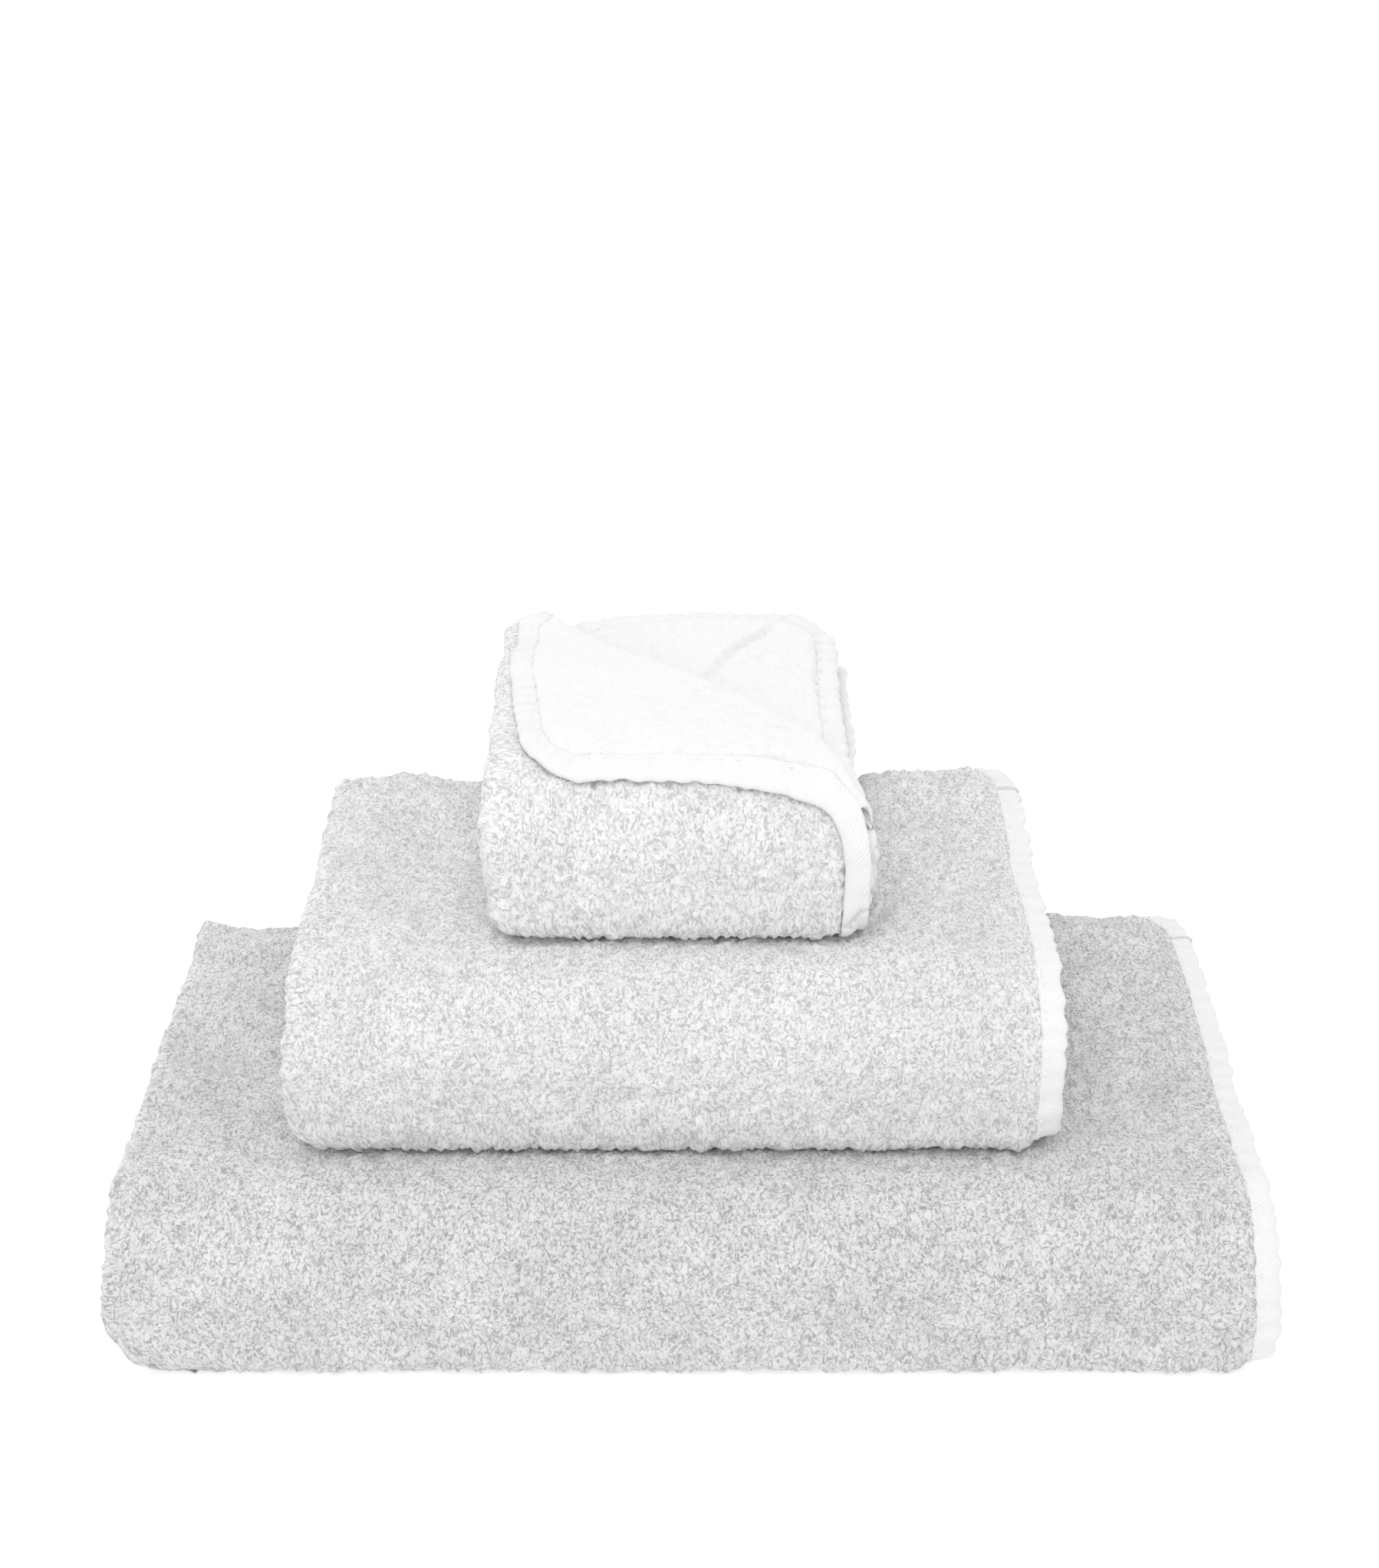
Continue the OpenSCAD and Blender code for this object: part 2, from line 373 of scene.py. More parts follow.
def rows(T, step_top, step_front, tail, coarse_run=20.0, turn_step=5.5, back_step=4.0):
    hem = np.array([1.6, 5.0, 9.6, 10.4, 10.9, 11.6, 12.6, 14.0, 15.6])
    out, fine = [], []
    a0, a1 = 17.4, T.start[1]
    n = int(round((a1 - a0) / step_top))
    v = np.concatenate([hem, np.linspace(a0, a1, n + 1)[:-1]])
    out.append(v)
    fine.append(np.ones(len(v), bool))
    n = int(round((T.start[2] - T.start[1]) / step_front))
    v = np.linspace(T.start[1], T.start[2], n + 1)[:-1]
    out.append(v)
    fine.append(np.ones(len(v), bool))
    v = T.start[2] + np.arange(0, tail, 4.0)
    out.append(v)
    fine.append(np.ones(len(v), bool))
    at = v[-1] + 4.0
    for j in range(2, len(T.segs)):
        s0, s1 = max(T.start[j], at), T.start[j + 1]
        if T.segs[j][0] == "run":
            st = coarse_run
        else:
            st = back_step if j == 3 else turn_step
        if j == len(T.segs) - 1:
            s1 -= 17.4
        n = max(2 if T.segs[j][0] == "run" else 8, int(round((s1 - s0) / st)))
        v = np.linspace(s0, s1, n + 1)[:-1]
        out.append(v)
        fine.append(np.zeros(len(v), bool))
    v = np.concatenate([[T.Lb - 17.4], T.Lb - hem[::-1]])
    out.append(v)
    fine.append(np.zeros(len(v), bool))
    return np.concatenate(out), np.concatenate(fine)


# ------------------------------------------------------------------ meshes
def link(me, name):
    ob = bpy.data.objects.new(name, me)
    bpy.context.scene.collection.objects.link(ob)
    return ob


def fans(faces):
    """The faces as triangles, one array for each position in the fan."""
    size = {}
    for f in faces:
        size.setdefault(len(f), []).append(f)
    for n, fs in size.items():
        q = np.array(fs)
        for k in range(1, n - 1):
            yield q[:, [0, k, k + 1]]


def mesh_object(name, verts, faces, uv, mats, mat_index=None, uv_name="Cloth"):
    # a closed mesh faces outwards
    P = np.asarray(verts)
    C = P.mean(0)
    vol = sum(float(np.einsum("ij,ij->i", P[t[:, 0]] - C, np.cross(P[t[:, 1]] - C, P[t[:, 2]] - C)).sum()) for t in fans(faces))
    if vol < 0:
        faces = [f[::-1] for f in faces]
    me = bpy.data.meshes.new(name)
    me.from_pydata((P * MM).tolist(), [], faces)
    for m in mats:
        me.materials.append(m)
    if mat_index is not None:
        me.polygons.foreach_set("material_index", np.asarray(mat_index, np.int32))
    me.polygons.foreach_set("use_smooth", np.ones(len(me.polygons), bool))
    layer = me.uv_layers.new(name=uv_name)
    idx = np.zeros(len(me.loops), np.int32)
    me.loops.foreach_get("vertex_index", idx)
    layer.data.foreach_set("uv", (np.asarray(uv)[idx] * MM).astype(np.float32).ravel())
    me.update()
    me.validate()
    return link(me, name)


def stitch_rows(c0, c1, i0, i1, flip, out):
    """Faces between two rows. c0 and c1 are sorted column numbers; i0 and i1 map a column to its vertex. A face runs between columns that both rows hold."""
    s1 = set(c1)
    common = [c for c in c0 if c in s1]
    p0 = {c: k for k, c in enumerate(c0)}
    p1 = {c: k for k, c in enumerate(c1)}
    for k in range(len(common) - 1):
        a, b = common[k], common[k + 1]
        f = tuple(i0[c] for c in c0[p0[a]:p0[b] + 1]) + tuple(i1[c] for c in c1[p1[a]:p1[b] + 1][::-1])
        out.append(f[::-1] if flip else f)


class Grid:
    """One face of the cloth: rows of vertices, each with its own set of columns."""

    def __init__(self, base):
        self.base, self.verts, self.uv, self.faces, self.rows, self.count = base, [], [], [], [], 0

    def add(self, cols, pts, uv):
        idx = {c: self.base + self.count + k for k, c in enumerate(cols)}
        self.count += len(cols)
        self.verts.append(pts)
        self.uv.append(uv)
        self.rows.append((list(cols), idx))


def terry(T, name, mats, step, front_step, every=2, white_every=4, inner_fine=None, cut=None, lumps=(0.42, 0.38), tail=16, white_fine_inner=False):
    A, nA, nring = columns(T, step, inner_fine=inner_fine)
    S, fine = rows(T, step, front_step, tail)
    nc = len(A)
    keep_hem = set(range(0, 10)) | set(range(nc - 10, nc)) | set(range(nA - 1, nA + nring + 1))
    inner0 = nA + nring
    all_cols = [c for c in range(nc)]
    g_fine = [c for c in all_cols if c < inner0 or c in keep_hem or not white_fine_inner or (c - inner0) % 8 == 0]
    g_coarse = [c for c in all_cols if c in keep_hem or (c < nA and (c - 9) % every == 0) or (c >= inner0 and (not white_fine_inner or (c - inner0) % 16 == 0))]
    w_set = [c for c in all_cols if c in keep_hem or (c < nA and (c - 9) % (every * white_every) == 0) or (c >= inner0 and (not white_fine_inner or (c - inner0) % 16 == 0))]
    w_fine = [c for c in all_cols if c in set(w_set) or c >= inner0] if white_fine_inner else w_set
    half = T.t / 2 + 0.12

    def flat(cols, s):
        a = A[cols]
        sv = np.full(len(cols), s)
        a2, s2 = corner_map(T, a, sv)
        if cut is None or s > T.Lb / 2:
            return a2, s2
        # the outer layer ends at the crease, and so it has no rounded corner
        lo, top = float(cut(s)), T.L1 + 4.0
        outer = a < T.La / 2
        ao = np.where(a < top, lo + a * (top - lo) / top, a)
        return np.where(outer, ao, a2), np.where(outer, sv, s2)

    def prof(a, s):
        d = hem_distance(T, a, s)
        if cut is not None:
            d = np.where((a < T.La / 2) & (s < T.Lb / 2), np.minimum(a, s), d)
        edge = TAPE_W - 0.7 + 0.5 * sample(LOOPS, a * 0.8 + 9, s * 0.8)
        return pile(d, half, edge), d

    grey, white = Grid(0), None
    for k, s in enumerate(S):
        cols = g_fine if fine[k] else g_coarse
        a, sv = flat(cols, s)
        h, d = prof(a, sv)
        on = smooth((d - 9.0) / 5.0)
        bump = lumps[0] * sample(LOOPS, a + 31 * T.seed, sv) + lumps[1] * sample(TUFTS, a + 50 * T.seed, sv + 10)
        inside = smooth((s - T.start[2] - 10) / 40.0) if s > T.start[2] else 0.0
        back = 1.0 if T.start[3] - 5 < s < T.start[4] + 5 else 0.0
        damp = max(1 - inside, back, 0.35)
        w = h + on * damp * bump
        grey.add(cols, T.place(a, sv, w), np.stack([a, sv], -1))
    white = Grid(grey.count)
    for k, s in enumerate(S):
        cols = w_fine if (fine[k] and white_fine_inner) else w_set
        a, sv = flat(cols, s)
        h, d = prof(a, sv)
        on = smooth((d - 9.0) / 5.0)
        bump = 0.15 * sample(LOOPS, a + 700, sv + 55) + 0.16 * sample(TUFTS, a + 350, sv)
        w = -(h + on * bump)
        if T.name == "guest":
            w = w - on * second_crease(T, a, sv)
        white.add(cols, T.place(a, sv, w), np.stack([a, sv + 3000.0], -1))
    faces, mat = [], []
    for G, flip, mi in ((grey, True, 0), (white, False, 1)):
        for k in range(len(G.rows) - 1):
            out = []
            stitch_rows(G.rows[k][0], G.rows[k + 1][0], G.rows[k][1], G.rows[k + 1][1], flip, out)
            faces += out
            mat += [mi] * len(out)
    # close the hems: each row's ends, and the first and last rows
    rim = []
    for k in range(len(S) - 1):
        for c, fl in ((0, False), (nc - 1, True)):
            f = (grey.rows[k][1][c], grey.rows[k + 1][1][c], white.rows[k + 1][1][c], white.rows[k][1][c])
            rim.append(f[::-1] if fl else f)
    for k, fl in ((0, True), (len(S) - 1, False)):
        gc, gi = grey.rows[k]
        wc, wi = white.rows[k]
        stitch_rows(gc, wc, gi, wi, fl, rim)
    faces += rim
    mat += [1] * len(rim)
    verts = np.concatenate(grey.verts + white.verts)
    uv = np.concatenate(grey.uv + white.uv)
    ob = mesh_object(name, verts, faces, uv, mats, mat)
    return ob


def second_crease(T, a, s):
    """A soft sunk line, with a raised side, on the white layer under the turned corner, where it was once folded."""
    x = T.fx + (a - T.L1 - math.pi * T.m) + T.o[0]
    y = T.D / 2 - s + T.o[1]
    (x0, y0), (x1, y1) = (2.0, 61.0), (49.0, 114.0)
    L = math.hypot(x1 - x0, y1 - y0)
    ux, uy = (x1 - x0) / L, (y1 - y0) / L
    along = (x - x0) * ux + (y - y0) * uy
    across = -(x - x0) * uy + (y - y0) * ux
    ends = smooth(along / 8) * smooth((L - along) / 12)
    on = (a > T.L1 + math.pi * T.m) & (s < T.start[1])
    return np.where(on, ends * (-1.8 * np.exp(-(across / 1.8) ** 2) + 1.6 * smooth((across + 1.5) / 5) * np.exp(-np.maximum(across, 0) / 22)), 0)


# the boundary of a cloth, as points with an inward direction
def boundary(T, step, first=None, last=None):
    r, La, Lb = CORNER_R, T.La, T.Lb
    parts = []

    def line(a0, s0, a1, s1, na, ns):
        L = math.hypot(a1 - a0, s1 - s0)
        n = max(2, int(round(L / step)))
        t = np.arange(n) / n
        parts.append((a0 + (a1 - a0) * t, s0 + (s1 - s0) * t, np.full(n, na), np.full(n, ns), np.full(n, L / n)))

    def arc(ca, cs, f0, f1):
        L = abs(f1 - f0) * r
        n = max(8, int(round(L / step)))
        f = f0 + (f1 - f0) * np.arange(n) / n
        parts.append((ca + r * np.cos(f), cs + r * np.sin(f), -np.cos(f), -np.sin(f), np.full(n, L / n)))

    pi = math.pi
    line(0, r if first is None else first, 0, Lb - r, 1.0, 0.0)
    arc(r, Lb - r, pi, pi / 2)
    line(r, Lb, La - r, Lb, 0.0, -1.0)
    arc(La - r, Lb - r, pi / 2, 0)
    line(La, Lb - r, La, r, -1.0, 0.0)
    arc(La - r, r, 0, -pi / 2)
    line(La - r, 0, r if last is None else last, 0, 0.0, 1.0)
    if first is None:
        arc(r, r, -pi / 2, -pi)
    a, s, na, ns, dl = (np.concatenate([q[i] for q in parts]) for i in range(5))
    if first is not None:
        a, s, na, ns, dl = (np.append(q, v) for q, v in zip((a, s, na, ns, dl), (last, 0.0, 0.0, 1.0, 0.0)))
    tau = np.concatenate([[0], np.cumsum(dl)[:-1]])
    return a, s, na, ns, tau, first is None


def tape_profile(half):
    """Closed outline of the folded tape: (distance in from the hem, height over the cloth's middle)."""
    w = TAPE_W
    o = [(w, 1.15), (w + 0.1, half * 0.66), (w - 0.6, half * 0.9), (w - 1.8, half * 0.93), (w - 2.6, half * 0.9),
         (w - 3.6, half * 1.0), (w * 0.5, half * 1.05), (3.4, half), (1.7, half * 0.84), (0.6, half * 0.52), (0.1, 0.0)]
    outer = o + [(x, -y) for x, y in o[-2::-1]]
    i = [(w - 0.4, 0.95), (6.0, 1.0), (2.4, 0.9), (1.4, 0.0)]
    inner = [(x, -y) for x, y in i[:-1]] + [i[-1]] + [(x, y) for x, y in i[-2::-1]]
    return outer, inner


def tape_mesh(name, put, b, half, mat, seed, pucker=0.38, wave=0.55):
    a, s, na, ns, tau, closed = b
    outer, inner = tape_profile(half)
    prof = outer + inner
    nO, nP, n = len(outer), len(prof), len(a)
    ph = 2 * math.pi * tau / 9.4 + 1.5 * sample(WANDER, tau * 3 + 77 * seed, 5.0 + 0 * tau)
    pk = np.sin(ph)
    edge = wave * pk + min(0.4, 1.2 * wave) * sample(TUFTS, tau + 13 * seed, 70.0 + 0 * tau)
    V, UV = [], []
    for k, (d, w) in enumerate(prof):
        if k < nO:
            f = 1 + pucker * pk * (1 - abs(d - 6) / 9.0) * 0.5
            dd = d - (edge * max(0.0, 1 - d / 5.0)) + (0.35 * sample(LOOPS, tau * 0.6 + 5, 9.0 + 0 * tau) if d > 9 else 0)
            ww = w * f + (0.10 * sample(LOOPS, tau, d * 1.0 + 30 + 0 * tau) * (1 if w >= 0 else -1))
        else:
            dd, ww = d + 0 * tau, w + 0 * tau
        V.append(put(a + na * dd, s + ns * dd, ww, tau, dd))
        arc = sum(math.dist(prof[j], prof[j + 1]) for j in range(k))
        UV.append(np.stack([tau, arc + 0 * tau], -1))
    V = np.stack(V, 1).reshape(-1, 3)
    UV = np.stack(UV, 1).reshape(-1, 2)
    faces = []
    m = n if closed else n - 1
    for i in range(m):
        j = (i + 1) % n
        for k in range(nP):
            l = (k + 1) % nP
            faces.append((i * nP + k, i * nP + l, j * nP + l, j * nP + k))
    if not closed:
        for e, fl in ((0, False), (n - 1, True)):
            # the tape's raw end, a strip between its outer and inner faces
            ring = [e * nP + k for k in range(nP)]
            for k in range(nO - 1):
                q = nP - 1 - int(round(k * (nP - nO - 1) / (nO - 1)))
                q2 = nP - 1 - int(round((k + 1) * (nP - nO - 1) / (nO - 1)))
                f = (ring[k], ring[q], ring[q2], ring[k + 1]) if q != q2 else (ring[k], ring[q], ring[k + 1])
                faces.append(f[::-1] if fl else f)
    return mesh_object(name, V, faces, UV, [mat])


def stitch_mesh(name, put, b, half, mat, pitch=3.4, length=2.5, width=0.42, inset=2.35, sides=(1, -1)):
    a, s, na, ns, tau, closed = b
    total = tau[-1] + (0 if not closed else (tau[1] - tau[0]))
    c = np.arange(pitch, total - pitch, pitch)

    def at(t):
        return [np.interp(t, tau, q) for q in (a, s, na, ns)]

    rings = [(-0.5, 0.25), (-0.36, 0.85), (0.0, 1.0), (0.36, 0.85), (0.5, 0.25)]
    ns_side = 6
    V, faces, UV = [], [], []
    for sg in sides:
        base = sum(len(v) for v in V)
        blocks = []
        for (t, rr) in rings:
            pa, ps, pna, pns = at(c + t * length)
            nn = np.hypot(pna, pns) + 1e-9
            pna, pns = pna / nn, pns / nn
            for j in range(ns_side):
                f = 2 * math.pi * j / ns_side
                dd = TAPE_W - inset + width * rr * math.cos(f)
                ww = half * 0.93 + (width * 0.9 * rr * math.sin(f) - 0.05 - 0.28 * (2 * abs(t)) ** 2)
                blocks.append(put(pa + pna * dd, ps + pns * dd, sg * (ww + 0 * pa), c + t * length, dd + 0 * pa))
        P = np.stack(blocks, 1)
        V.append(P.reshape(-1, 3))
        nb = len(rings) * ns_side
        UV.append(np.stack([np.repeat(c, nb), np.tile(np.arange(nb) * 0.1, len(c))], -1))
        for q in range(len(c)):
            o = base + q * nb
            for r_ in range(len(rings) - 1):
                for j in range(ns_side):
                    k = (j + 1) % ns_side
                    f = (o + r_ * ns_side + j, o + r_ * ns_side + k, o + (r_ + 1) * ns_side + k, o + (r_ + 1) * ns_side + j)
                    faces.append(f if sg > 0 else f[::-1])
            e0 = tuple(o + j for j in range(ns_side))
            e1 = tuple(o + (len(rings) - 1) * ns_side + j for j in range(ns_side))
            faces.append(e0[::-1] if sg > 0 else e0)
            faces.append(e1 if sg > 0 else e1[::-1])
    return mesh_object(name, np.concatenate(V), faces, np.concatenate(UV), [mat])


# ------------------------------------------------------------------ the turned corner
RHO = 2.5       # radius of the roll along the crease
T_FLAP = 4.7    # thickness of the turned cloth
NOM = GUEST.start[1]
R_PAIR = GUEST.segs[1][3]
ROLL = math.pi * RHO * math.sqrt(2)


def crease_at(t):
    """The crease: u + v along it, where u and v are distances from the right and back hems and t is v - u. It sags towards both its ends."""
    return (152.0 + 8.0 * smooth((20.0 - t) / 110.0) - 5.0 * smooth((-t - 128.0) / 27.0) + 9.0 * smooth((t - 95.0) / 60.0))


CR_T = np.linspace(-155.0, 161.0, 633)
CR_U = (crease_at(CR_T) - CR_T) / 2
CR_V = (crease_at(CR_T) + CR_T) / 2
END_V, END_U = 161.0, 155.0        # where the crease meets the right hem and the back hem


def crease_u(v):
    """Distance of the crease from the right hem, at distance v from the back hem."""
    return np.where(np.asarray(v) > END_V, 0.0, np.interp(v, CR_V, np.maximum(CR_U, 0.0)))


def turned(u, v, w):
    """Where a point of the turned corner lies: (u, v) in the plane of the outer layer and h over its top."""
    t = v - u
    c = crease_at(t)
    c2 = c + ROLL
    d = (c2 - u - v) / math.sqrt(2)
    tp = t * c / c2
    f = np.clip(d / RHO, 0, math.pi)
    past = np.maximum(d - math.pi * RHO, 0.0) + np.maximum(-d, 0.0)
    e = (-RHO + w) * np.sin(f) + past
    h = -RHO * np.cos(f) + w * np.cos(f) + 0.15
    return (c - tp) / 2 + e / math.sqrt(2), (c + tp) / 2 + e / math.sqrt(2), h, d


# where the turned corner's edges lie: the left one (u against v) and the front one (v against u)
EDGE_L = ((14.0, 159.5), (41.0, 161.0), (63.0, 160.6), (90.0, 158.4), (118.0, 154.6), (150.0, 152.0))
EDGE_F = ((13.5, 162.0), (17.5, 157.0), (30.0, 152.4), (44.0, 150.0), (59.0, 148.4), (72.0, 147.4), (97.0, 147.0), (165.0, 147.0))
_h = np.linspace(0.0, 172.0, 345)
_lu, _lv, _, _ = turned(_h, 0 * _h, 0 * _h)
_fu, _fv, _, _ = turned(0 * _h, _h, 0 * _h)
_ok = _h < 158.0


def edge_shift(q, key, pos, table):
    """How far the edge has to move at q, fading out where the crease begins."""
    o = np.argsort(key[_ok])
    now = np.interp(q, key[_ok][o], pos[_ok][o])
    kx, ky = zip(*table)
    return (np.interp(q, kx, ky) - now) * smooth(q / kx[0])


def flap_put(u, v, w):
    """A point of the guest cloth's back right corner, u from the right hem and v from the back hem, turned over the crease. w is its height over the cloth, positive on the grey side."""
    u, v, w = np.broadcast_arrays(np.asarray(u, float), np.asarray(v, float), np.asarray(w, float))
    up, vp, h, d = turned(u, v, w)
    lie = smooth((d - 6.0) / 10.0)
    su = edge_shift(vp, _lv, _lu, EDGE_L) * np.clip(up / 150.0, 0, 1) ** 3
    sv = edge_shift(up, _fu, _fv, EDGE_F) * np.clip(vp / 145.0, 0, 1) ** 3
    up = up + lie * su
    vp = vp + lie * sv
    # the turned cloth lies a little proud, most along its middle, and least at its hems
    hem = np.minimum(u, v)
    h = h + smooth((d - 8) / 30) * (0.3 + 0.9 * smooth(hem / 45) * smooth(vp / 60.0) + 0.40 * sample(WAVES, u * 1.6 + 60, v * 1.6 + 10))
    return lay(up, vp, h)


def lay(up, vp, h):
    """A point h over the outer layer's nominal top."""
    q = 0.7
    top = GUEST.t / 2
    # past the left fold it lies on, nearly flat
    edge = GUEST.L1 - 2.5
    out = np.maximum(up - edge, 0.0)
    ua = np.minimum(up, edge)
    P = GUEST.place(ua, vp, top)
    Pa = GUEST.place(ua + q, vp, top) - GUEST.place(ua - q, vp, top)
    Ps = GUEST.place(ua, vp + q, top) - GUEST.place(ua, vp - q, top)
    N = np.cross(Ps, Pa)
    N = N / (np.linalg.norm(N, axis=-1, keepdims=True) + 1e-12)
    N = np.where((N * np.array([0.0, -0.3, 1.0])).sum(-1, keepdims=True) < 0, -N, N)
    # the tip at the back hem hangs a little
    h = h - 2.0 * smooth((16.0 - vp) / 16.0) * smooth((up - 90.0) / 50.0)
    P = P + N * h[..., None]
    P[..., 0] -= out
    P[..., 2] -= 0.05 * out ** 2
    return P


# the turned corner's front hem, where it bends down and joins the band on the front: (u, v) along the hem's edge
TURN = np.array([(60.0, 148.4), (44.0, 150.0), (30.0, 152.3), (22.5, 154.6), (17.8, 157.8), (15.0, 162.0), (13.4, 167.0), (12.6, 173.0), (12.2, 182.0), (12.0, 193.0), (11.6, 207.0)])
_tl = np.concatenate([[0], np.cumsum(np.hypot(*np.diff(TURN, axis=0).T))])
_tg = np.linspace(0, _tl[-1], 300)
_tu, _tv = (np.interp(_tg, _tl, TURN[:, k]) for k in (0, 1))
_ker = np.hanning(31) / np.hanning(31).sum()
_tu, _tv = (np.convolve(np.pad(q, 15, mode="reflect", reflect_type="odd"), _ker, "valid") for q in (_tu, _tv))
_du, _dv = np.gradient(_tu), np.gradient(_tv)
_dn = np.hypot(_du, _dv)
_nu, _nv = -_dv / _dn, _du / _dn


def ribbon_put(a, s, w, tau, dd, tau0):
    """The turned corner's tape: over the cloth, and at its right end in the plane, down into the band on the front."""
    P = flap_put(a, s, w)
    sg = np.clip(tau - tau0, 0, _tl[-1])
    on = smooth((tau - tau0) / 16.0)
    cu, cv, nu, nv = (np.interp(sg, _tg, q) for q in (_tu, _tv, _nu, _nv))
    base = np.interp(sg, [0, 30, 46, 58, 68, _tl[-1] - 12, _tl[-1] - 5, _tl[-1]], [3.2, 2.9, 2.2, 0.9, 0.2, -0.1, -1.2, -4.8])
    Q = lay(cu + nu * dd, cv + nv * dd, base - w)
    return P + (Q - P) * on[..., None]


def flap_span(d, side):
    """End of the row at distance d past the crease, as (u, v), on the right hem's side (+1) or the back hem's (-1)."""
    r = CORNER_R
    t = side * (165.0 - d)
    for _ in range(30):
        L = crease_at(t) + ROLL - d * math.sqrt(2)
        x0 = 1.5
        if L < r:
            disc = r * r - ((2 * r - L) ** 2) / 2
            if disc <= 0:
                return None
            x0 = max(1.5, L / 2 - math.sqrt(disc / 2))
        if L / 2 - x0 < 0.15:
            return None
        t = side * (L - 2 * x0)
    return t


def flap_terry(name, mats):
    half = T_FLAP / 2
    dmax = 172.0 / math.sqrt(2)
    dv = np.concatenate([np.linspace(0, math.pi * RHO, 12)[:-1], np.arange(math.pi * RHO, dmax, 1.25)])
    nq = 150
    r = CORNER_R
    rows_ = []
    for d in dv:
        hi, lo = flap_span(d, 1), flap_span(d, -1)
        if hi is None or lo is None:
            break
        q = np.linspace(-1, 1, nq)
        q = np.sign(q) * (1 - (1 - np.abs(q)) ** 1.25)
        t = (hi + lo) / 2 + q * (hi - lo) / 2
        L = crease_at(t) + ROLL - d * math.sqrt(2)
        rows_.append(((L - t) / 2, (L + t) / 2))
    U = np.array([x[0] for x in rows_])
    Vv = np.array([x[1] for x in rows_])
    m = (U < r) & (Vv < r)
    dist = np.where(m, r - np.hypot(r - U, r - Vv), np.minimum(U, Vv))
    dist = np.maximum(dist, 0.5)
    edge = TAPE_W - 0.7 + 0.5 * sample(LOOPS, U * 0.8 + 90, Vv * 0.8)
    h = pile(dist, half, edge)
    on = smooth((dist - 9) / 5)
    g = h + on * 0.25 * sample(LOOPS, U + 31 * GUEST.seed, Vv)
    wv = -(h + on * (0.14 * sample(LOOPS, U + 700, Vv + 55) + 0.16 * sample(TUFTS, U + 350, Vv)))
    PG, PW = flap_put(U, Vv, g), flap_put(U, Vv, wv)
    nr = len(rows_)
    faces, mat = [], []

    def idx(k, i, j):
        return k * nr * nq + i * nq + j

    for k, fl, mi in ((0, True, 0), (1, False, 1)):
        for i in range(nr - 1):
            for j in range(nq - 1):
                f = (idx(k, i, j), idx(k, i, j + 1), idx(k, i + 1, j + 1), idx(k, i + 1, j))
                faces.append(f[::-1] if fl else f)
                mat.append(mi)
    for i in range(nr - 1):
        faces.append((idx(0, i, 0), idx(0, i + 1, 0), idx(1, i + 1, 0), idx(1, i, 0))[::-1])
        faces.append((idx(0, i + 1, nq - 1), idx(0, i, nq - 1), idx(1, i, nq - 1), idx(1, i + 1, nq - 1))[::-1])
        mat += [1, 1]
    for j in range(nq - 1):
        faces.append((idx(0, 0, j + 1), idx(0, 0, j), idx(1, 0, j), idx(1, 0, j + 1))[::-1])
        faces.append((idx(0, nr - 1, j), idx(0, nr - 1, j + 1), idx(1, nr - 1, j + 1), idx(1, nr - 1, j))[::-1])
        mat += [1, 1]
    uv = np.concatenate([np.stack([U, Vv], -1).reshape(-1, 2), np.stack([U, Vv + 3000], -1).reshape(-1, 2)])
    return mesh_object(name, np.concatenate([PG.reshape(-1, 3), PW.reshape(-1, 3)]), faces, uv, mats, mat)


def flap_boundary(step):
    r = CORNER_R
    u1, v1 = END_U + ROLL, END_V + ROLL + 45.0
    n1 = int(round((u1 - r) / step))
    t = np.arange(n1) / n1
    parts = [(u1 - (u1 - r) * t, 0 * t, 0 * t, 0 * t + 1)]
    n2 = max(10, int(round(math.pi / 2 * r / step)))
    f = -math.pi / 2 - math.pi / 2 * np.arange(n2) / n2
    parts.append((r + r * np.cos(f), r + r * np.sin(f), -np.cos(f), -np.sin(f)))
    n3 = int(round((v1 - r) / step))
    t = np.arange(n3 + 1) / n3
    parts.append((0 * t, r + (v1 - r) * t, 0 * t + 1, 0 * t))
    a, s, na, ns = (np.concatenate([p[i] for p in parts]) for i in range(4))
    tau = np.concatenate([[0], np.cumsum(np.hypot(np.diff(a), np.diff(s)))])
    return a, s, na, ns, tau, False


# ------------------------------------------------------------------ materials
def nodes_of(name):
    m = bpy.data.materials.new(name)
    m.use_nodes = True
    nt = m.node_tree
    nt.nodes.clear()
    out = nt.nodes.new("ShaderNodeOutputMaterial")
    bs = nt.nodes.new("ShaderNodeBsdfPrincipled")
    nt.links.new(bs.outputs["BSDF"], out.inputs["Surface"])
    return m, nt, bs


def N(nt, kind, **props):
    n = nt.nodes.new(kind)
    for k, v in props.items():
        setattr(n, k, v)
    return n


def put_in(nt, sock, v):
    if hasattr(v, "is_linked"):
        nt.links.new(v, sock)
    else:
        sock.default_value = v


def mth(nt, op, a, b=None, clamp=False):
    n = N(nt, "ShaderNodeMath", operation=op, use_clamp=clamp)
    put_in(nt, n.inputs[0], a)
    if b is not None:
        put_in(nt, n.inputs[1], b)
    return n.outputs[0]


def ramp(nt, v, lo, hi, a, b):
    n = N(nt, "ShaderNodeMapRange", clamp=True, interpolation_type="SMOOTHSTEP")
    put_in(nt, n.inputs["Value"], v)
    n.inputs["From Min"].default_value = lo
    n.inputs["From Max"].default_value = hi
    n.inputs["To Min"].default_value = a
    n.inputs["To Max"].default_value = b
    return n.outputs["Result"]


